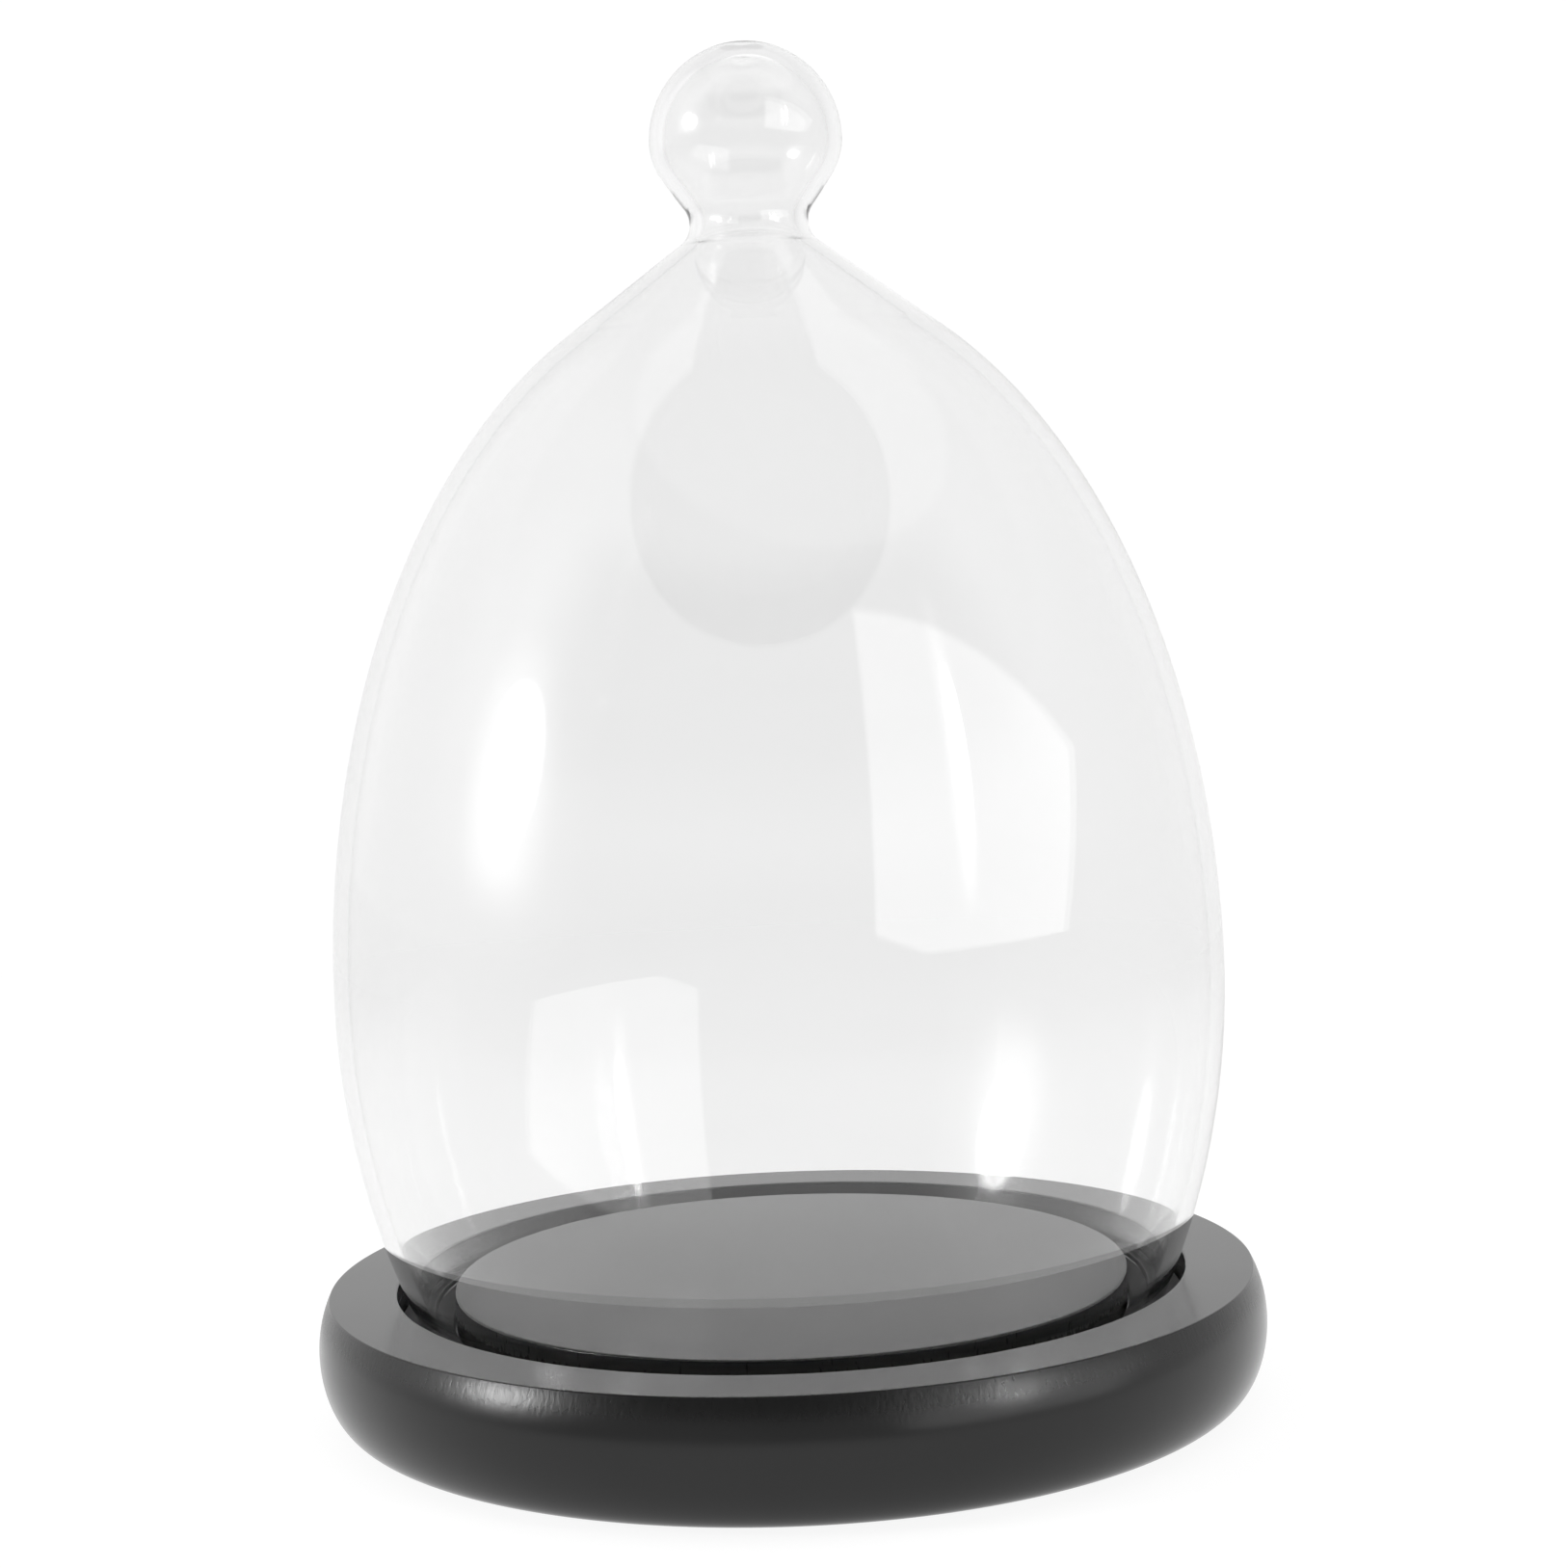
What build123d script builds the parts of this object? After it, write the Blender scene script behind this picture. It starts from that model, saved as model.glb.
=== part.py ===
"""Bell jar: a blown glass dome with a ball knob, standing in the ring groove of a turned, lacquered board.

Millimetres, +Z up. The origin is the point on the table under the centre of the board, and every piece but
the foot pads is turned or blown about the Z axis. Each piece is drawn as a half outline, (radius, height),
and revolved. The glass is drawn twice by one function, once at its outer skin and once a wall inside it.
"""

import os
from math import atan, atan2, degrees, radians, tan

from build123d import *

# ---- The board, from its underside up ----
PAD_HEIGHT = 1.5  # felt pads hold the board off the table
BOARD_THICKNESS = 20.0
DECK_Z = PAD_HEIGHT + BOARD_THICKNESS  # the board's top: the deck inside the groove and the ring outside it
DECK_RADIUS = 57.3
GROOVE_RADIUS = 66.7  # outer wall of the groove
GROOVE_DEPTH = 6.0
GROOVE_EASE = 0.4  # rounding of the groove's two upper edges
TOP_RADIUS = 78.0  # the crisp upper edge of the rim
WIDEST_RADIUS = 80.0
WIDEST_DROP = 8.5  # how far below the top the side is widest
UNDERSIDE_RADIUS = 74.0  # the flat underside, where the lower side curve ends

# ---- What lies in the groove and under the board ----
SEAT_THICKNESS = 1.0
SEAT_SIDE_GAP = 0.5  # the seat ring is loose between the groove's walls
LAYER_GAP = 0.05  # air between a piece and the one it lies on, so that each can move
PAD_RADIUS = 6.0
PAD_CIRCLE_RADIUS = 60.0
PAD_EASE = 0.3
PAD_COUNT = 4

# ---- The glass ----
WALL = 2.4
BELLY_RADIUS = 74.8  # widest outer radius
BELLY_Z = DECK_Z + 50.0
SKIRT_DEPTH = 102.0  # the belly tapers down to the rim as an ellipse of this half height
CROWN_HEIGHT = 119.5  # and up to the shoulder as an ellipse of this half height
SHOULDER_SLOPE = 37.0  # degrees below level of the straight shoulder, tangent to the crown
NECK_FILLET = 4.5  # outer hollow curve between the shoulder and the knob
KNOB_RADIUS = 16.2
KNOB_Z = DECK_Z + 190.4  # the knob's widest level
KNOB_LOWER_DEPTH = 12.8  # below that level the knob turns in as an ellipse of this half height
KNOB_TAPER = 35.4  # degrees from upright of the straight run into the neck, tangent to that ellipse
SEAL_RADIUS = 5.0  # the ball of glass left inside the knob where the blowing pipe was sealed off
SEAL_DROP = 0.9  # how far it stands out of the inner skin
RIM_ROUND = 0.48  # the fire-polished rim's corner radius, as a share of the wall

SEAT_FLOOR_Z = DECK_Z - GROOVE_DEPTH
SEAT_Z = SEAT_FLOOR_Z + LAYER_GAP
RIM_Z = SEAT_Z + SEAT_THICKNESS + LAYER_GAP


def revolved(profile):
    """A half outline drawn as (radius, height) on the XY plane, stood up and turned about Z."""
    return revolve(Plane.XZ * profile, axis=Axis.Z)


def skirt_radius(height, inset):
    """Radius of the skirt's ellipse at a height, for the skin that lies an inset inside the outer one."""
    share = (BELLY_Z - height) / (SKIRT_DEPTH - inset)
    return (BELLY_RADIUS - inset) * (1 - share**2) ** 0.5


def glass_skin(inset):
    """Half outline of everything inside the skin that lies an inset inside the jar's outer surface.

    Upwards: the skirt's ellipse, the crown's ellipse, a straight shoulder tangent to it, the neck's hollow
    fillet, the knob's straight taper, its lower ellipse and the quarter circle that closes it on the axis.
    """
    belly = BELLY_RADIUS - inset
    skirt_depth = SKIRT_DEPTH - inset
    crown_height = CROWN_HEIGHT - inset
    belly_centre = (0, BELLY_Z)
    knob = KNOB_RADIUS - inset
    knob_lower_depth = KNOB_LOWER_DEPTH - inset
    knob_centre = (0, KNOB_Z)

    rim_angle = degrees(atan2(BELLY_Z - RIM_Z, skirt_depth * skirt_radius(RIM_Z, inset) / belly))
    skirt = EllipticalCenterArc(belly_centre, belly, skirt_depth, start_angle=0, arc_size=-rim_angle)
    shoulder_angle = 90 - degrees(atan(tan(radians(SHOULDER_SLOPE)) * belly / crown_height))
    crown = EllipticalCenterArc(
        belly_centre, belly, crown_height, start_angle=shoulder_angle, arc_size=-shoulder_angle
    )
    taper_angle = degrees(atan(tan(radians(KNOB_TAPER)) * knob_lower_depth / knob))
    knob_lower = EllipticalCenterArc(
        knob_centre, knob, knob_lower_depth, start_angle=-taper_angle, arc_size=taper_angle
    )
    knob_upper = CenterArc(knob_centre, knob, start_angle=0, arc_size=90)

    shoulder_start = crown @ 0
    taper_end = knob_lower @ 0
    reach = shoulder_start.X - taper_end.X
    rise = taper_end.Y - shoulder_start.Y
    slope, lean = tan(radians(SHOULDER_SLOPE)), tan(radians(KNOB_TAPER))
    shoulder_run = (reach + lean * rise) / (1 + lean * slope)
    neck = Vector(shoulder_start.X - shoulder_run, shoulder_start.Y + slope * shoulder_run)

    outline = [
        Line((0, RIM_Z), skirt @ 1),
        skirt,
        crown,
        Line(shoulder_start, neck),
        Line(neck, taper_end),
        knob_lower,
        knob_upper,
        Line(knob_upper @ 1, (0, RIM_Z)),
    ]
    face = make_face(outline)
    neck_corner = face.vertices().sort_by_distance(neck)[0]
    return fillet(neck_corner, radius=NECK_FILLET + inset)


def glass_dome():
    """The blown jar: outer skin less inner skin, a rounded rim, and the seal of glass inside the knob."""
    outer = glass_skin(0)
    inner = glass_skin(WALL)
    rim_corners = [(skirt_radius(RIM_Z, 0), RIM_Z), (skirt_radius(RIM_Z, WALL), RIM_Z)]
    wall = outer - inner
    for corner in rim_corners:
        wall = fillet(wall.vertices().sort_by_distance(corner)[0], radius=RIM_ROUND * WALL)
    seal_z = KNOB_Z + KNOB_RADIUS - WALL - SEAL_DROP + SEAL_RADIUS
    right_half = Pos(BELLY_RADIUS, BELLY_Z) * Rectangle(2 * BELLY_RADIUS, 4 * CROWN_HEIGHT)
    seal = Pos(0, seal_z) * Circle(SEAL_RADIUS) & outer & right_half
    return revolved(wall + seal)


def base_board():
    """The turned board: a barrel side, a crisp top edge, and a ring groove that leaves a round deck inside."""
    widest_z = DECK_Z - WIDEST_DROP
    lower_drop = widest_z - PAD_HEIGHT
    lower_side = EllipticalCenterArc(
        (UNDERSIDE_RADIUS, widest_z), WIDEST_RADIUS - UNDERSIDE_RADIUS, lower_drop, start_angle=-90, arc_size=90
    )
    bulge = WIDEST_RADIUS - TOP_RADIUS
    side_radius = (WIDEST_DROP**2 + bulge**2) / (2 * bulge)
    side_angle = degrees(atan2(WIDEST_DROP, side_radius - bulge))
    side_centre = (WIDEST_RADIUS - side_radius, widest_z)
    upper_side = CenterArc(side_centre, side_radius, start_angle=0, arc_size=side_angle)
    outline = [
        Line((0, PAD_HEIGHT), lower_side @ 0),
        lower_side,
        upper_side,
        Line(upper_side @ 1, (0, DECK_Z)),
        Line((0, DECK_Z), (0, PAD_HEIGHT)),
    ]
    groove_width = GROOVE_RADIUS - DECK_RADIUS
    groove_middle = (GROOVE_RADIUS + DECK_RADIUS) / 2
    groove = Pos(groove_middle, DECK_Z - GROOVE_DEPTH / 2) * Rectangle(groove_width, GROOVE_DEPTH)
    profile = make_face(outline) - groove
    for edge_radius in (DECK_RADIUS, GROOVE_RADIUS):
        upper_corner = profile.vertices().sort_by_distance((edge_radius, DECK_Z))[0]
        profile = fillet(upper_corner, radius=GROOVE_EASE)
    return revolved(profile)


def seat_ring():
    """The loose cushion ring that the glass rim stands on, flat on the groove's floor."""
    inner_radius = DECK_RADIUS + SEAT_SIDE_GAP
    outer_radius = GROOVE_RADIUS - SEAT_SIDE_GAP
    section = Pos((inner_radius + outer_radius) / 2, SEAT_Z + SEAT_THICKNESS / 2) * Rectangle(
        outer_radius - inner_radius, SEAT_THICKNESS
    )
    return revolved(section)


def foot_pad(number):
    """One of the round pads, evenly spaced on a circle under the board, with an eased lower edge."""
    angle = 360 / PAD_COUNT * (number - 0.5)
    pad = extrude(Circle(PAD_RADIUS), amount=PAD_HEIGHT)
    pad = fillet(pad.edges().sort_by(Axis.Z)[0], radius=PAD_EASE)
    return Rot(0, 0, angle) * Pos(PAD_CIRCLE_RADIUS, 0, 0) * pad


pieces = {"glass_dome": glass_dome(), "seat_ring": seat_ring(), "base_board": base_board()}
for pad_number in range(1, PAD_COUNT + 1):
    pieces[f"foot_pad_{pad_number}"] = foot_pad(pad_number)

os.makedirs("parts", exist_ok=True)
for name, piece in pieces.items():
    export_step(piece, f"parts/{name}.step")
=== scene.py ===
# %% [markdown]
# # A blown-glass bell jar on a black-lacquered board
#
# The object has two things worth looking at. One is a jar of clear glass, blown in one piece with a hollow ball
# knob, and the other is a turned board with a satin black finish and a ring groove that the jar stands in. Both
# are bodies of revolution, so the whole lesson rests on one idea: draw half an outline, then turn it about Z.
#
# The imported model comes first. It fixes every size and place, and each piece made below stands for one of its
# nodes and rides on that node's body.

import bpy
import numpy as np
from mathutils import Matrix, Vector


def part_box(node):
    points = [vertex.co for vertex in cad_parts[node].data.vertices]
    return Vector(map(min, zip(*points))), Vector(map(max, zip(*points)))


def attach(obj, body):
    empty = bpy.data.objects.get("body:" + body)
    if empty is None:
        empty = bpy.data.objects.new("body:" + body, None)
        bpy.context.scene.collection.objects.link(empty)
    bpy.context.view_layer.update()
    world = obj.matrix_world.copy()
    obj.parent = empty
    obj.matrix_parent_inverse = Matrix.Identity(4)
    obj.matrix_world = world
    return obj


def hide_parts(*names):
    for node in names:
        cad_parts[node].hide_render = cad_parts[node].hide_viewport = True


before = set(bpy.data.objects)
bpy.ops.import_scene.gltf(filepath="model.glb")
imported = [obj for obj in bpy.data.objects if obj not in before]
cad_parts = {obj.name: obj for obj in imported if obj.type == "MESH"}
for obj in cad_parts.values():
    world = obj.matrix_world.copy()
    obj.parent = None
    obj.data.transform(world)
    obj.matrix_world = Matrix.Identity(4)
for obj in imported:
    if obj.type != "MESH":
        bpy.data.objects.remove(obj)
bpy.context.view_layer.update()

# %% [markdown]
# ## Measures
#
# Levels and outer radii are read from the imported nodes, so they can't drift away from them. What a box can't
# say, such as the groove's two walls or the wall of the glass, is named here in millimetres. All code below
# works in metres.

# %% Read the levels and name the sizes
MM = 0.001

jar_low, jar_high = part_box("glass_dome")
board_low, board_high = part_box("base_board")
seat_low, seat_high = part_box("seat_ring")
rim_z = jar_low.z
deck_z = board_high.z
belly_radius = jar_high.x
widest_radius = board_high.x

wall = 2.4 * MM
belly_z = deck_z + 50.0 * MM
skirt_depth = 102.0 * MM
crown_height = 119.5 * MM
shoulder_slope = np.radians(37.0)
neck_fillet = 4.5 * MM
knob_radius = 16.2 * MM
knob_z = jar_high.z - knob_radius
knob_lower_depth = 12.8 * MM
knob_taper = np.radians(35.4)

deck_radius = 57.3 * MM
groove_radius = 66.7 * MM
groove_depth = 6.0 * MM
groove_ease = 0.4 * MM
top_radius = 78.0 * MM
widest_drop = 8.5 * MM
underside_radius = 74.0 * MM
print(f"jar {2 * belly_radius / MM:.1f} mm across, its top {jar_high.z / MM:.1f} mm above the table")

# %% [markdown]
# ## Drawing half an outline
#
# An outline is an array of (radius, height) points, walked so that the outside is always on the right hand.
# Three small helpers draw all of them: a straight run, an arc of an ellipse, and a fillet where two straight
# runs meet. A run puts its points closer together at its ends. Smooth shading blends the directions of
# neighbouring faces, and the narrow faces there keep that blend out of the flat.


# %% Straight runs, elliptical arcs and fillets
def run(start, end, count):
    """Points of a straight stretch: start + s (end - start), with s = (1 - cos(pi t)) / 2 for even t."""
    start, end = np.asarray(start, float), np.asarray(end, float)
    share = (1 - np.cos(np.pi * np.linspace(0, 1, count))) / 2
    return start + share[:, None] * (end - start)


def arc(centre, radii, first, last, count):
    """Points of an ellipse: the centre plus (a cos t, b sin t), with t running evenly from first to last."""
    angle = np.linspace(first, last, count)
    return np.column_stack([centre[0] + radii[0] * np.cos(angle), centre[1] + radii[1] * np.sin(angle)])


def fillet(before, corner, after, radius, count):
    """Points of the circle that touches both straight runs, from one touching point to the other.

    Its centre lies on the line that halves their angle, radius / sin(half the angle) from the corner.
    """
    towards_before = (before - corner) / np.linalg.norm(before - corner)
    towards_after = (after - corner) / np.linalg.norm(after - corner)
    half_angle = np.arccos(towards_before @ towards_after) / 2
    middle = towards_before + towards_after
    centre = corner + middle / np.linalg.norm(middle) * radius / np.sin(half_angle)
    touch = radius / np.tan(half_angle)
    from_centre = corner + towards_before * touch - centre
    to_centre = corner + towards_after * touch - centre
    turn = np.pi - 2 * half_angle
    step = np.linspace(0, 1, count)[:, None]
    return centre + (np.sin((1 - step) * turn) * from_centre + np.sin(step * turn) * to_centre) / np.sin(turn)


print("a quarter circle in five points, in mm:", arc((0, 0), (10, 10), 0, np.pi / 2, 5).round(1).tolist())

# %% [markdown]
# ## Turning the outline
#
# Blender can turn an outline with its Screw modifier. Here it is done on a grid instead, because the glass
# needs a wall that varies a little round the jar, and a grid can take any change of radius that is a function
# of the angle and the place along the outline. An outline that starts and ends on the axis gets one point for
# each pole and a fan of triangles, so the skin closes with no pile of doubled points.


# %% Turn an outline into a closed skin
def turned_skin(outline, sides, swell=None, closed_ring=False):
    """Points and faces of an outline turned about Z.

    Point (i, j) is ((r_i + swell_ij) cos a_j, (r_i + swell_ij) sin a_j, z_i), with a_j = 2 pi j / sides. A face
    joins the points (i, j), (i, j + 1), (i + 1, j + 1) and (i + 1, j). A closed ring also joins its last row to
    its first; any other outline starts and ends on the axis, in a pole.
    """
    rows = outline if closed_ring else outline[1:-1]
    angle = 2 * np.pi * np.arange(sides) / sides
    radius = rows[:, :1] + (0 if swell is None else swell(angle[None, :], rows))
    height = np.broadcast_to(rows[:, 1:], (len(rows), sides))
    radius = np.broadcast_to(radius, height.shape)
    points = np.stack([radius * np.cos(angle), radius * np.sin(angle), height], axis=-1).reshape(-1, 3)

    row_count = len(rows) if closed_ring else len(rows) - 1
    row, side = np.meshgrid(np.arange(row_count), np.arange(sides), indexing="ij")
    above, beside = (row + 1) % len(rows), (side + 1) % sides
    corners = [row * sides + side, row * sides + beside, above * sides + beside, above * sides + side]
    faces = np.stack(corners, axis=-1).reshape(-1, 4).tolist()
    if not closed_ring:
        first_pole, last_pole = len(points), len(points) + 1
        poles = [(0, 0, outline[0, 1]), (0, 0, outline[-1, 1])]
        points = np.vstack([points, poles])
        around = np.arange(sides)
        onwards = (around + 1) % sides
        last_row = (len(rows) - 1) * sides
        fans = [
            np.column_stack([np.full(sides, first_pole), onwards, around]),
            np.column_stack([np.full(sides, last_pole), last_row + around, last_row + onwards]),
        ]
        faces += np.vstack(fans).tolist()
    return points, faces


def make_piece(name, points, faces, material, body, node):
    """A smooth-shaded mesh object at the origin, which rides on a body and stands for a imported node."""
    mesh = bpy.data.meshes.new(name)
    mesh.from_pydata(points, [], faces)
    mesh.shade_smooth()
    mesh.materials.append(material)
    piece = bpy.data.objects.new(name, mesh)
    bpy.context.collection.objects.link(piece)
    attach(piece, body)
    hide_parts(node)
    triangles = sum(len(face) - 2 for face in faces)
    print(f"{name}: {triangles} triangles, rides on {body}")


# %% [markdown]
# ## Helpers for materials
#
# Every finish below is a Principled shader with a few pattern nodes behind it, and each short function here
# stands for one kind of node, so that a finish reads as a list of what is done. The patterns read Object
# coordinates, in metres, so their scale is a real one: a Noise scale of 400 repeats about every 2.5 mm. What is
# the same all over a surface is set on the shader's own socket.


# %% Start a material, and name the nodes it is made of
def add_node(tree, kind, inputs=None, **settings):
    """One new node. An input takes either another node's output, which is linked, or a plain value."""
    new = tree.nodes.new(kind)
    for name, value in settings.items():
        setattr(new, name, value)
    for name, value in (inputs or {}).items():
        if isinstance(value, bpy.types.NodeSocket):
            tree.links.new(value, new.inputs[name])
        else:
            new.inputs[name].default_value = value
    return new


def start_material(name):
    """A material with a Principled shader, and the Object coordinates to read patterns from."""
    material = bpy.data.materials.new(name)
    material.use_nodes = True
    tree = material.node_tree
    shader = tree.nodes["Principled BSDF"]
    place = add_node(tree, "ShaderNodeTexCoord").outputs["Object"]
    return material, tree, shader, place


def math_node(tree, operation, first, second=0.0):
    """The output of one Math node."""
    return add_node(tree, "ShaderNodeMath", {0: first, 1: second}, operation=operation).outputs["Value"]


def ramp(tree, value, start, end, low=0.0, high=1.0, shape="LINEAR"):
    """A number that goes from low to high as the value goes from start to end, and is level beyond them."""
    ends = {"Value": value, "From Min": start, "From Max": end, "To Min": low, "To Max": high}
    return add_node(tree, "ShaderNodeMapRange", ends, interpolation_type=shape).outputs["Result"]


def smooth_step(tree, value, start, end, low=0.0, high=1.0):
    """A ramp with soft ends."""
    return ramp(tree, value, start, end, low, high, "SMOOTHSTEP")


def between(tree, share, first, second):
    """The number that goes from the first to the second as the share goes from 0 to 1."""
    return add_node(tree, "ShaderNodeMix", {0: share, 2: first, 3: second}).outputs[0]


def blended(tree, share, first, second):
    """The colour that goes from the first to the second as the share goes from 0 to 1."""
    ends = {0: share, 6: first, 7: second}
    return add_node(tree, "ShaderNodeMix", ends, data_type="RGBA").outputs[2]


def grey(level):
    """An opaque grey."""
    return (level, level, level, 1)


def length_of(tree, vector):
    """The length of a vector."""
    return add_node(tree, "ShaderNodeVectorMath", {0: vector}, operation="LENGTH").outputs["Value"]


def scaled(tree, place, scale):
    """Coordinates scaled along each axis. A scale below 1 draws a pattern out along that axis."""
    return add_node(tree, "ShaderNodeMapping", {"Vector": place, "Scale": scale}).outputs["Vector"]


def noise(tree, place, scale, detail=2.0):
    """Noise in three dimensions, as a number from 0 to 1."""
    ends = {"Vector": place, "Scale": scale, "Detail": detail}
    return add_node(tree, "ShaderNodeTexNoise", ends).outputs["Fac"]


def bumped(tree, pattern, strength, distance, under=None):
    """The direction of a surface that a pattern raises, on top of an earlier bump if one is given."""
    ends = {"Height": pattern, "Strength": strength, "Distance": distance}
    if under is not None:
        ends["Normal"] = under
    return add_node(tree, "ShaderNodeBump", ends).outputs["Normal"]


# %% [markdown]
# ## Clear glass
#
# Blown soda-lime glass is colourless across its thickness, and a thin wall takes a few percent of the light
# with a faint grey. Three things tell it from a perfect computer surface: slow waves left by the blowing, which
# bend what is seen through the wall, fine cords that run round it where the melt wasn't quite even, and a
# skin that is mirror smooth. The waves are in the mesh. The cords are noise squeezed along Z, in a very weak
# bump and a very weak change of grey. The shader is a real refracting glass with an index of 1.5 and no
# roughness, on a wall with two sides.


# %% Mix the glass
def clear_glass():
    """Refracting glass, faintly grey, with weak level cords."""
    material, tree, shader, place = start_material("clear_glass")
    shader.inputs["Transmission Weight"].default_value = 1.0
    shader.inputs["Roughness"].default_value = 0.0
    shader.inputs["IOR"].default_value = 1.5
    cords = noise(tree, scaled(tree, place, (1.0, 1.0, 4.0)), 28.0, detail=1.0)
    tree.links.new(bumped(tree, cords, 0.02, 0.1 * MM), shader.inputs["Normal"])
    tree.links.new(blended(tree, cords, grey(0.925), grey(0.935)), shader.inputs["Base Color"])
    return material


glass = clear_glass()
print("glass ready:", glass.name)

# %% [markdown]
# ## The jar
#
# The outer skin is, from the rim up: the skirt's ellipse, the crown's ellipse, a straight shoulder, the neck's
# hollow fillet, a straight taper, the knob's lower ellipse, and a quarter circle up to the axis. The inner skin
# is the same curve a wall further in. At the rim the two meet in the round lip that the flame leaves. Inside
# the knob the blowing pipe was sealed off, and it left a small button of glass.
#
# The slow waves of blown glass are a swell of the radius, a sum of a few cosines of the angle and the height.
# The inner skin gets more of it than the outer one, as on a real jar, which cools on its outside first.


# %% Draw the two skins and join them
SKIRT_POINTS = 30
CROWN_POINTS = 42
NECK_POINTS = 14
KNOB_LOWER_POINTS = 9
KNOB_UPPER_POINTS = 30
LIP_POINTS = 13
JAR_SIDES = 380


def glass_skin(inset, rim_level):
    """The skin that lies an inset inside the outer one, from the rim's level up to the axis.

    The shoulder is the crown's tangent at its slope, and the taper is the knob's tangent at its lean. They meet
    where both lines give the same height, and the fillet rounds that corner.
    """
    belly, skirt, crown = belly_radius - inset, skirt_depth - inset, crown_height - inset
    knob, knob_lower = knob_radius - inset, knob_lower_depth - inset
    rim_angle = np.arcsin((belly_z - rim_level) / skirt)
    shoulder_angle = np.pi / 2 - np.arctan(np.tan(shoulder_slope) * belly / crown)
    taper_angle = np.arctan(np.tan(knob_taper) * knob_lower / knob)
    skirt_part = arc((0, belly_z), (belly, skirt), -rim_angle, 0, SKIRT_POINTS)
    crown_part = arc((0, belly_z), (belly, crown), 0, shoulder_angle, CROWN_POINTS)
    knob_lower_part = arc((0, knob_z), (knob, knob_lower), -taper_angle, 0, KNOB_LOWER_POINTS)
    knob_upper_part = arc((0, knob_z), (knob, knob), 0, np.pi / 2, KNOB_UPPER_POINTS)

    shoulder_start, taper_end = crown_part[-1], knob_lower_part[0]
    reach = shoulder_start[0] - taper_end[0]
    rise = taper_end[1] - shoulder_start[1]
    length = (reach + np.tan(knob_taper) * rise) / (1 + np.tan(knob_taper) * np.tan(shoulder_slope))
    corner = shoulder_start + length * np.array([-1, np.tan(shoulder_slope)])
    neck_part = fillet(shoulder_start, corner, taper_end, neck_fillet + inset, NECK_POINTS)
    parts = [skirt_part, crown_part[1:], neck_part, knob_lower_part, knob_upper_part[1:]]
    outline = np.vstack(parts)
    outline[-1, 0] = 0
    return outline


rim_round = 0.48 * wall
outer_skin = glass_skin(0, rim_z + rim_round)
inner_skin = glass_skin(wall, rim_z + rim_round)
seal_width = 1.7 * MM
seal_drop = 0.9 * MM
near_top = inner_skin[:, 1] > knob_z
inner_skin[:, 1] -= near_top * seal_drop * np.exp(-((inner_skin[:, 0] / seal_width) ** 2))
lip_middle = (outer_skin[0] + inner_skin[0]) / 2
lip_radii = ((outer_skin[0, 0] - inner_skin[0, 0]) / 2, rim_round)
lip = arc(lip_middle, lip_radii, -np.pi, 0, LIP_POINTS)[1:-1]
jar_outline = np.vstack([inner_skin[::-1], lip, outer_skin])
inner_count = len(inner_skin) - 1
inner_wave = 0.10 * MM
outer_wave = 0.04 * MM


def blown_waves(angle, rows):
    """Swell of the radius, from cosines with 2, 3 and 5 waves round the jar that drift with height.

    A last cosine is level. The swell fades with the radius, so that it is weak at the knob, and it is two and
    a half times as strong on the inner skin as on the outer.
    """
    height = (rows[:, 1:] - rim_z) / belly_radius
    wave = (
        0.50 * np.cos(2 * angle + 1.3 * height + 0.4)
        + 0.32 * np.cos(3 * angle - 2.6 * height + 2.1)
        + 0.18 * np.cos(5 * angle + 4.2 * height + 1.1)
        + 0.22 * np.cos(6.5 * height + 0.7)
    )
    is_inner = np.arange(len(rows))[:, None] < inner_count
    strength = np.where(is_inner, inner_wave, outer_wave)
    fade = np.clip(rows[:, :1] / belly_radius, 0, 1) ** 1.5
    return strength * fade * wave


points, faces = turned_skin(jar_outline, JAR_SIDES, swell=blown_waves)
make_piece("glass_jar", points, faces, glass, "dome", "glass_dome")
near_neck = abs(outer_skin[:, 1] - knob_z + 1.2 * knob_radius) < 0.4 * knob_radius
print(f"wall {wall / MM} mm, neck {2 * outer_skin[near_neck, 0].min() / MM:.1f} mm across")
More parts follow.
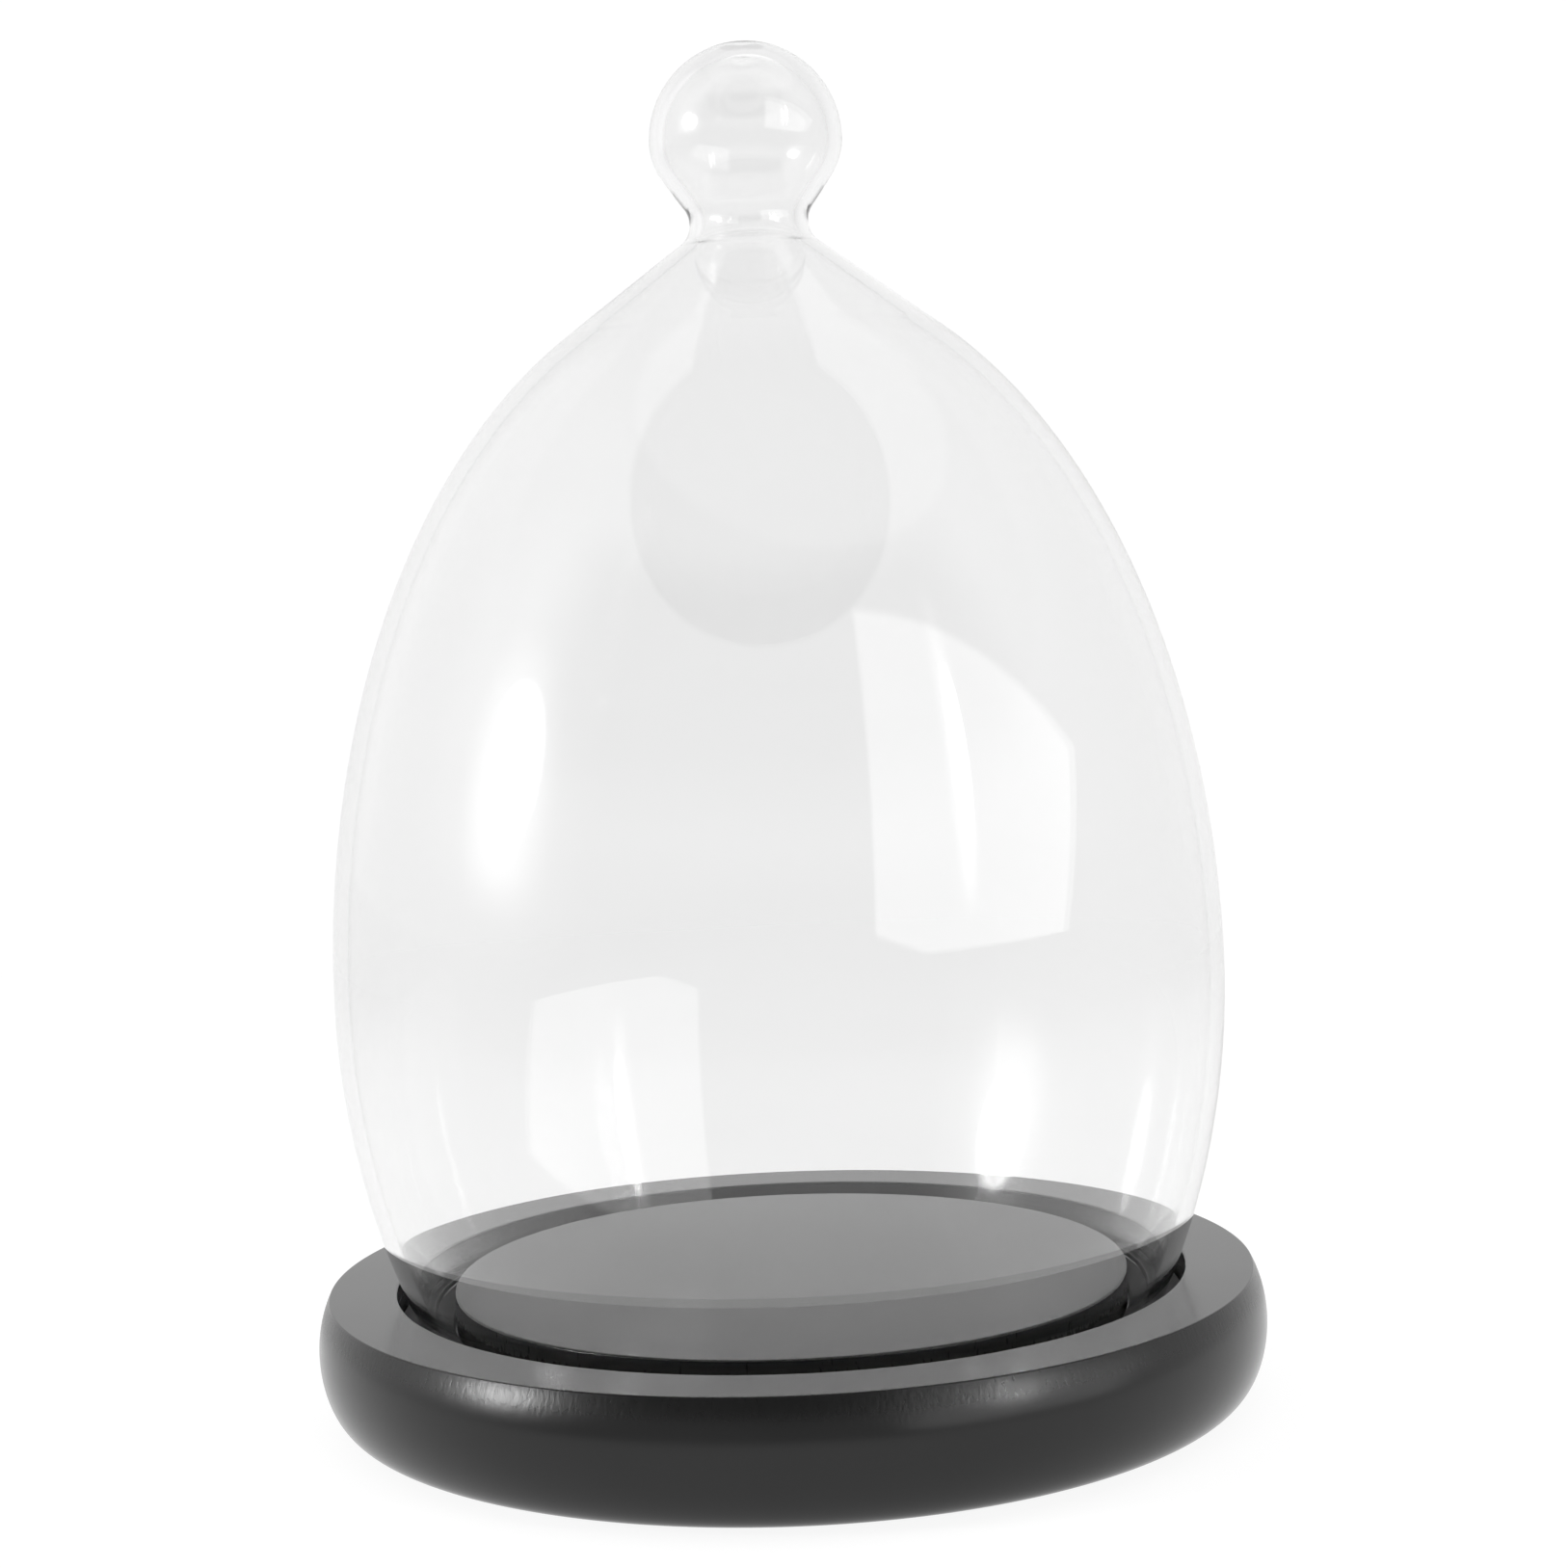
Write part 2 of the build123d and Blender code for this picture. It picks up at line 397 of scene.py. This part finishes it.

# %% [markdown]
# ## Satin black lacquer
#
# The board is sprayed with a black lacquer that dries to a satin: deep black face on, with soft wide
# highlights, and a pale sheen at a low angle. The grain of the wood telegraphs through on the side, most of all
# under the crisp upper edge, where the film pulls thin and shows the turner's sanding as short upright ticks.
# Three patterns carry that. A slow mottle is in the colour and the roughness, and a fine orange peel is in the
# bump. The ticks are noise drawn out along Z, in the bump and in the roughness of a rubbed band just under the
# edge. The groove's walls and floor are painted a dark grey, lighter than the lacquer. That grey is painted
# light, which lifts the shade that falls into the groove.


# %% Mix the lacquer
def black_lacquer():
    """Satin black with orange peel, a rubbed band of upright ticks under the edge, and painted light in the
    groove.
    """
    material, tree, shader, place = start_material("black_lacquer")
    mottle = noise(tree, place, 55.0, detail=3.0)
    peel = noise(tree, place, 900.0, detail=2.0)
    ticks = noise(tree, scaled(tree, place, (1.0, 1.0, 0.28)), 1500.0, detail=4.0)

    height = add_node(tree, "ShaderNodeSeparateXYZ", {"Vector": place}).outputs["Z"]
    under_edge = smooth_step(tree, height, deck_z - 6.5 * MM, deck_z - 1.5 * MM)
    below_top = ramp(tree, height, deck_z - 0.25 * MM, deck_z - 0.05 * MM, 1.0, 0.0)
    band = math_node(tree, "MULTIPLY", under_edge, below_top)

    flat = add_node(tree, "ShaderNodeVectorMath", {0: place, 1: (1, 1, 0)}, operation="MULTIPLY")
    radius = length_of(tree, flat.outputs["Vector"])
    inside = math_node(tree, "LESS_THAN", radius, groove_radius + 0.1 * MM)
    sunk = math_node(tree, "LESS_THAN", height, deck_z - 0.4 * MM)
    in_groove = math_node(tree, "MULTIPLY", inside, sunk)
    polished = blended(tree, mottle, grey(0.003), grey(0.006))
    # The groove gets a lighter grey than the lacquer. It is painted light that lifts the shade in the recess.
    groove_painted_light = blended(tree, mottle, grey(0.030), grey(0.050))
    tree.links.new(blended(tree, in_groove, polished, groove_painted_light), shader.inputs["Base Color"])

    smooth_part = ramp(tree, mottle, 0.0, 1.0, 0.15, 0.22)
    rubbed_part = ramp(tree, ticks, 0.0, 1.0, 0.24, 0.34)
    tree.links.new(between(tree, band, smooth_part, rubbed_part), shader.inputs["Roughness"])
    shader.inputs["IOR"].default_value = 1.45
    peel_normal = bumped(tree, peel, 0.008, 0.3 * MM)
    tick_strength = math_node(tree, "MULTIPLY", band, 0.13)
    tick_normal = bumped(tree, ticks, tick_strength, 0.3 * MM, under=peel_normal)
    tree.links.new(tick_normal, shader.inputs["Normal"])
    return material


lacquer = black_lacquer()
print("lacquer ready:", lacquer.name)

# %% [markdown]
# ## The board
#
# Turned on a lathe from one disc: a flat underside, a full lower side like a quarter of an ellipse, a flatter
# upper side that is a circular arc, and a crisp edge at the top. The crisp edge keeps a tiny round of a fifth
# of a millimetre, as any lacquered edge does. The ring groove has square walls and a flat floor, with eased
# edges where it meets the top. Sharp inner corners get a round too small to see, so that they shade cleanly.

# %% Turn the board
widest_z = deck_z - widest_drop
bulge = widest_radius - top_radius
side_radius = (widest_drop**2 + bulge**2) / (2 * bulge)
side_centre = (widest_radius - side_radius, widest_z)
edge_angle = np.arctan2(widest_drop, side_radius - bulge)
edge_round = 0.2 * MM
edge_share = 0.975  # the side's arc stops short of the top, to leave room for the round of the edge
inner_corner_round = 0.15 * MM
floor_z = deck_z - groove_depth

lower_radii = (widest_radius - underside_radius, widest_z - board_low.z)
lower_side = arc((underside_radius, widest_z), lower_radii, -np.pi / 2, 0, 26)
upper_side = arc(side_centre, (side_radius, side_radius), 0, edge_angle * edge_share, 22)
edge_corner = np.array([top_radius, deck_z])
top_edge = fillet(upper_side[-1], edge_corner, np.array([groove_radius, deck_z]), edge_round, 7)


def rounded(corner, before, after, radius):
    """A fillet in seven points at a corner of the groove, between the corners before and after it."""
    return fillet(np.array(before), np.array(corner), np.array(after), radius, 7)


groove_corners = [
    (groove_radius, deck_z),
    (groove_radius, floor_z),
    (deck_radius, floor_z),
    (deck_radius, deck_z),
]
groove_rounds = [groove_ease, inner_corner_round, inner_corner_round, groove_ease]
around_groove = [(top_radius, deck_z), *groove_corners, (0, deck_z)]
groove = [
    rounded(corner, around_groove[i], around_groove[i + 2], groove_rounds[i])
    for i, corner in enumerate(groove_corners)
]
board_outline = np.vstack([
    run((0, board_low.z), lower_side[0], 16)[:-1],
    lower_side,
    upper_side[1:],
    top_edge,
    run(top_edge[-1], groove[0][0], 14)[1:-1],
    groove[0],
    run(groove[0][-1], groove[1][0], 8)[1:-1],
    groove[1],
    run(groove[1][-1], groove[2][0], 8)[1:-1],
    groove[2],
    run(groove[2][-1], groove[3][0], 8)[1:-1],
    groove[3],
    run(groove[3][-1], (0, deck_z), 30)[1:],
])
points, faces = turned_skin(board_outline, 320)
make_piece("turned_board", points, faces, lacquer, "base", "base_board")
print(f"side arc of {side_radius / MM:.1f} mm radius, edge at {np.degrees(edge_angle):.0f} degrees")

# %% [markdown]
# ## Felt
#
# The glass doesn't stand on lacquer. A loose ring of felt lies on the groove's floor, and four felt pads hold
# the board off the table. Pressed wool felt is matt, with a nap that lights up at a low angle, and its surface
# is a tangle of short fibres. The sheen gives the nap, and two layers of noise give the fibres: one stretched
# along X and one along Y, so that neither direction wins.


# %% Mix the felt
def felt(name, dark, light):
    """Matt felt: two crossed layers of stretched noise for the fibres, in the colour and in the bump."""
    material, tree, shader, place = start_material(name)
    strands = []
    for stretch in ((0.25, 1.0, 1.0), (1.0, 0.25, 1.0)):
        strands.append(noise(tree, scaled(tree, place, stretch), 3200.0, detail=3.0))
    fibres = math_node(tree, "MAXIMUM", strands[0], strands[1])
    tree.links.new(blended(tree, fibres, grey(dark), grey(light)), shader.inputs["Base Color"])
    tree.links.new(ramp(tree, fibres, 0.0, 1.0, 0.85, 1.0), shader.inputs["Roughness"])
    shader.inputs["Specular IOR Level"].default_value = 0.2
    shader.inputs["Sheen Weight"].default_value = 0.3
    shader.inputs["Sheen Roughness"].default_value = 0.6
    tree.links.new(bumped(tree, fibres, 0.7, 0.3 * MM), shader.inputs["Normal"])
    return material


# The seat felt's fibre pattern is its own. Its grey, lighter than black felt, is painted light that lifts the
# shade in the groove where it lies.
seat_felt = felt("black_felt", 0.040, 0.130)
foot_felt = felt("grey_felt", 0.030, 0.110)
print("felts ready:", seat_felt.name, foot_felt.name)

# %% [markdown]
# ## The seat ring and the foot pads
#
# Both are die-cut, which presses the edges down a little, so their outlines are flats with rounded corners. The
# seat ring is turned as a closed ring, and a foot pad as a small disc that is then carried out to its place. A
# low swell of waves round the seat ring keeps it from looking like a machined washer.


# %% Cut the seat ring
def felt_swell(angle, rows):
    """A few hundredths of a millimetre in and out round the ring, as a sum of cosines of the angle."""
    wave = np.cos(11 * angle) + 0.7 * np.cos(17 * angle + 1.0) + 0.5 * np.cos(29 * angle + 2.0)
    return 0.03 * MM * wave * np.ones_like(rows[:, :1])


def cut_corners(corners, radius, count):
    """The closed outline through these corners, each one rounded by the same fillet."""
    total = len(corners)
    corners = [np.array(corner) for corner in corners]
    rounds = [fillet(corners[i - 1], corners[i], corners[(i + 1) % total], radius, 6) for i in range(total)]
    sides_between = [run(rounds[i][-1], rounds[(i + 1) % total][0], count)[1:-1] for i in range(total)]
    return np.vstack([part for pair in zip(rounds, sides_between) for part in pair])


seat_side_gap = 0.5 * MM
seat_ease = 0.25 * MM
seat_inner = deck_radius + seat_side_gap
seat_outer = seat_high.x
seat_corners = [
    (seat_inner, seat_low.z),
    (seat_outer, seat_low.z),
    (seat_outer, seat_high.z),
    (seat_inner, seat_high.z),
]
points, faces = turned_skin(cut_corners(seat_corners, seat_ease, 8), 240, felt_swell, closed_ring=True)
make_piece("felt_seat", points, faces, seat_felt, "seat", "seat_ring")

# %% Cut the foot pads
pad_lower_ease = 0.3 * MM
pad_upper_ease = 0.05 * MM
for number in range(1, 5):
    node = f"foot_pad_{number}"
    pad_low, pad_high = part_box(node)
    pad_radius = (pad_high.x - pad_low.x) / 2
    lower_corner = fillet(
        np.array([0, pad_low.z]), np.array([pad_radius, pad_low.z]), np.array([pad_radius, pad_high.z]),
        pad_lower_ease, 6,
    )
    upper_corner = fillet(
        np.array([pad_radius, pad_low.z]), np.array([pad_radius, pad_high.z]), np.array([0, pad_high.z]),
        pad_upper_ease, 4,
    )
    pad_outline = np.vstack([
        run((0, pad_low.z), lower_corner[0], 8)[:-1],
        lower_corner,
        run(lower_corner[-1], upper_corner[0], 5)[1:-1],
        upper_corner,
        run(upper_corner[-1], (0, pad_high.z), 8)[1:],
    ])
    points, faces = turned_skin(pad_outline, 64)
    points[:, :2] += [(pad_low.x + pad_high.x) / 2, (pad_low.y + pad_high.y) / 2]
    make_piece(f"felt_foot_{number}", points, faces, foot_felt, "base", node)

# %% [markdown]
# ## The room
#
# Clear glass has no look of its own: it shows what is behind it and mirrors what is around it. So the studio is
# drawn in the world's shader, as a function of direction only. Behind the jar is a white sweep, which dims
# round the sides. In front, where the camera stands, the room is dimmer, and between it and the pale ceiling is
# a dark gap, so the glass reads a little greyer than the white behind it. A wide softbox with a bare lamp in it
# hangs at the right, a narrow lamp stands at the left before a faintly lit wall, and a faint disc hangs
# overhead. They make the bright shapes on the glass and the soft highlights under the board's edge. A lamp is a
# small strong glow inside a wider weak one.
#
# A panel is a rectangle in a plane that faces a direction n, with axes u and v. For a direction d, the numbers
# (d.u)/(d.n) and (d.v)/(d.n) are where d meets that plane. Each is compared with the panel's ends, and a smooth
# step softens the border. A glow is an ellipse in such a plane: with half sizes a and b, the share
# sqrt((across/a)^2 + (upward/b)^2) runs from 0 at its middle to 1 at its border, where the light has faded out.
# The glows also fade out towards the horizon, so that the floor doesn't cut them off in a hard line.


# %% Helpers for the room
def seen_plane(tree, direction, azimuth, elevation, roll):
    """Where a direction meets a plane one unit away: across, upward, and 1 if it is in front of us or 0 behind.

    The plane faces an azimuth, from the front towards the right, and an elevation. Its level axis is rolled
    about the facing direction. All three are in degrees.
    """
    azimuth, elevation, roll = np.radians([azimuth, elevation, roll])
    outward = np.array([np.sin(azimuth), -np.cos(azimuth), 0.0])
    facing = outward * np.cos(elevation) + np.array([0.0, 0.0, np.sin(elevation)])
    level = np.array([np.cos(azimuth), np.sin(azimuth), 0.0])
    across = level * np.cos(roll) + np.cross(facing, level) * np.sin(roll)
    upward = np.cross(facing, across)
    reach = []
    for axis in (across, upward, facing):
        dot = add_node(tree, "ShaderNodeVectorMath", {0: direction, 1: tuple(axis)}, operation="DOT_PRODUCT")
        reach.append(dot.outputs["Value"])
    ahead = smooth_step(tree, reach[2], 0.0, 0.05)
    return math_node(tree, "DIVIDE", reach[0], reach[2]), math_node(tree, "DIVIDE", reach[1], reach[2]), ahead


def panel(tree, direction, aim, across_ends, upward_ends, softness):
    """1 where a direction meets the panel and 0 elsewhere, with borders a softness wide."""
    across, upward, lit = seen_plane(tree, direction, *aim)
    for place, (first, last) in ((across, across_ends), (upward, upward_ends)):
        off_middle = math_node(tree, "ABSOLUTE", math_node(tree, "SUBTRACT", place, (first + last) / 2))
        half = (last - first) / 2
        edge = smooth_step(tree, off_middle, half - softness / 2, half + softness / 2, 1.0, 0.0)
        lit = math_node(tree, "MULTIPLY", lit, edge)
    return lit


def glow(tree, direction, aim, half_width, half_height, core):
    """1 inside the core of an ellipse, falling smoothly to 0 at its border. The core is a share of it."""
    across, upward, ahead = seen_plane(tree, direction, *aim)
    across_share = math_node(tree, "DIVIDE", across, half_width)
    upward_share = math_node(tree, "DIVIDE", upward, half_height)
    spread = add_node(tree, "ShaderNodeCombineXYZ", {0: across_share, 1: upward_share}).outputs["Vector"]
    distance = length_of(tree, spread)
    return math_node(tree, "MULTIPLY", ahead, smooth_step(tree, distance, core, 1.0, 1.0, 0.0))


# %% Draw the room
SWEEP = 1.02
SIDES = 0.80
ROOM = 0.55
CEILING = 0.90
DARK_GAP = 0.10


def horizon_light(tree, backward):
    """How bright the room is level with the eye, by how far backward a direction points, from -1 to 1."""
    back_half = smooth_step(tree, backward, 0.35, 0.97, SIDES, SWEEP)
    return between(tree, smooth_step(tree, backward, -0.65, 0.0), ROOM, back_half)


world = bpy.data.worlds.new("studio")
bpy.context.scene.world = world
world.use_nodes = True
tree = world.node_tree
direction = add_node(tree, "ShaderNodeTexCoord").outputs["Generated"]
parts = add_node(tree, "ShaderNodeSeparateXYZ", {"Vector": direction}).outputs
overhead = smooth_step(tree, parts["Z"], 0.30, 0.65)
light = between(tree, overhead, horizon_light(tree, parts["Y"]), CEILING)
gap_sides = [
    smooth_step(tree, parts["Z"], 0.20, 0.42),
    smooth_step(tree, parts["Z"], 0.80, 0.66),
    smooth_step(tree, parts["Y"], -0.10, -0.50),
]
gap = math_node(tree, "MULTIPLY", math_node(tree, "MULTIPLY", gap_sides[0], gap_sides[1]), gap_sides[2])
light = between(tree, gap, light, DARK_GAP)

# A panel's aim (azimuth, elevation and roll, in degrees), its ends across, its ends upward, softness, strength.
panels = {
    "wide softbox": ((39, 40, -15), (-0.13, 1.19), (-0.85, -0.03), 0.03, 1.3),
    "left wall": ((-90, 10, 0), (-1.20, 0.62), (-0.20, 1.20), 0.60, 0.12),
}
# A glow's aim, its half width, its half height, the share of it that is core, and its strength.
glows = {
    "overhead disc": ((70, 82, 0), 0.72, 0.72, 0.94, 0.22),
    "bare lamp": ((52, 19, -8), 0.035, 0.20, 0.0, 70.0),
    "glow round the bare lamp": ((51, 18, -8), 0.07, 0.46, 0.0, 2.0),
    "narrow lamp": ((-73, 18, 0), 0.15, 0.15, 0.0, 60.0),
    "glow round the narrow lamp": ((-74, 15, 0), 0.31, 0.34, 0.0, 2.2),
    "spill on the left": ((-76, 18, 0), 0.60, 0.80, 0.0, 0.4),
}
off_floor = smooth_step(tree, parts["Z"], 0.0, 0.14)
for aim, across_ends, upward_ends, softness, strength in panels.values():
    lit = panel(tree, direction, aim, across_ends, upward_ends, softness)
    light = math_node(tree, "ADD", light, math_node(tree, "MULTIPLY", lit, strength))
for aim, half_width, half_height, core, strength in glows.values():
    lit = math_node(tree, "MULTIPLY", glow(tree, direction, aim, half_width, half_height, core), off_floor)
    light = math_node(tree, "ADD", light, math_node(tree, "MULTIPLY", lit, strength))
tree.links.new(light, tree.nodes["Background"].inputs["Strength"])
tree.nodes["Background"].inputs["Color"].default_value = (1, 1, 1, 1)
print(f"sweep {SWEEP}, room {ROOM}, ceiling {CEILING}, with {', '.join([*panels, *glows])}")

# %% [markdown]
# ## The floor
#
# A disc of white paper, twelve metres across. Near the object it is partly lit by the room, so it takes a faint
# contact shadow. The rest of its light is its own. Far out it fades into the brightness of the room in the same
# direction, so that the camera sees no horizon behind the glass. It fades sooner in front, where the room is
# dimmer. The lit wall isn't part of that brightness, so views from the side still show it meet the floor in a
# faint level line.


# %% Lay the floor
NEAR_LIGHT = 0.90


def white_paper():
    """Paper with a faint tooth near the middle, fading into the room's own light further out."""
    material, tree, shader, place = start_material("white_paper")
    distance = length_of(tree, place)
    heading = add_node(tree, "ShaderNodeVectorMath", {0: place}, operation="NORMALIZE").outputs["Vector"]
    backward = add_node(tree, "ShaderNodeSeparateXYZ", {"Vector": heading}).outputs["Y"]
    in_front = smooth_step(tree, backward, 0.1, -0.7)
    far = smooth_step(tree, distance, 0.14, between(tree, in_front, 0.75, 0.50))
    tooth = noise(tree, place, 600.0, detail=2.0)
    paper = blended(tree, tooth, grey(0.14), grey(0.16))
    tree.links.new(blended(tree, far, paper, grey(0.0)), shader.inputs["Base Color"])
    own_light = between(tree, far, NEAR_LIGHT, horizon_light(tree, backward))
    tree.links.new(own_light, shader.inputs["Emission Strength"])
    shader.inputs["Emission Color"].default_value = (1, 1, 1, 1)
    shader.inputs["Roughness"].default_value = 0.9
    shader.inputs["Specular IOR Level"].default_value = 0.0
    return material


floor_radius = 6.0
floor_thickness = 1 * MM
floor_outline = np.vstack([
    run((0, -floor_thickness), (floor_radius, -floor_thickness), 4),
    run((floor_radius, 0), (0, 0), 4),
])
points, faces = turned_skin(floor_outline, 96)
floor_mesh = bpy.data.meshes.new("floor")
floor_mesh.from_pydata(points, [], faces)
floor_mesh.materials.append(white_paper())
floor = bpy.data.objects.new("floor", floor_mesh)
bpy.context.collection.objects.link(floor)
print(f"floor: a paper disc {2 * floor_radius:.0f} m across")

# %% [markdown]
# ## The camera
#
# A lens of about 60 mm on a 36 mm sensor, a little above the jar's middle and looking slightly down, so that
# the deck and the groove open into ellipses. It is rolled by a couple of degrees, as a hand-set tripod is.

# %% Set the camera
camera_place = np.array([0.0, -438.0, 126.7]) * MM
camera_target = np.array([2.12, 0.0, 103.9]) * MM
camera_roll = np.radians(-2.297)
sensor_width = 36.0
camera_lens = 59.357

forward = camera_target - camera_place
camera_distance = np.linalg.norm(forward)
forward /= camera_distance
level = np.cross(forward, (0, 0, 1))
level /= np.linalg.norm(level)
upward = np.cross(level, forward)
camera_x = level * np.cos(camera_roll) + upward * np.sin(camera_roll)
camera_y = -level * np.sin(camera_roll) + upward * np.cos(camera_roll)
camera_axes = np.column_stack([camera_x, camera_y, -forward, camera_place])
camera_data = bpy.data.cameras.new("camera")
camera_data.sensor_width = sensor_width
camera_data.lens = camera_lens
camera_data.clip_start = 0.01
camera_data.clip_end = 50.0
camera = bpy.data.objects.new("camera", camera_data)
bpy.context.collection.objects.link(camera)
camera.matrix_world = Matrix([*camera_axes.tolist(), [0, 0, 0, 1]])
bpy.context.scene.camera = camera
bpy.context.scene.view_settings.view_transform = "Standard"
print(f"camera {camera_distance:.2f} m from its target, lens {camera_lens:.1f} mm")
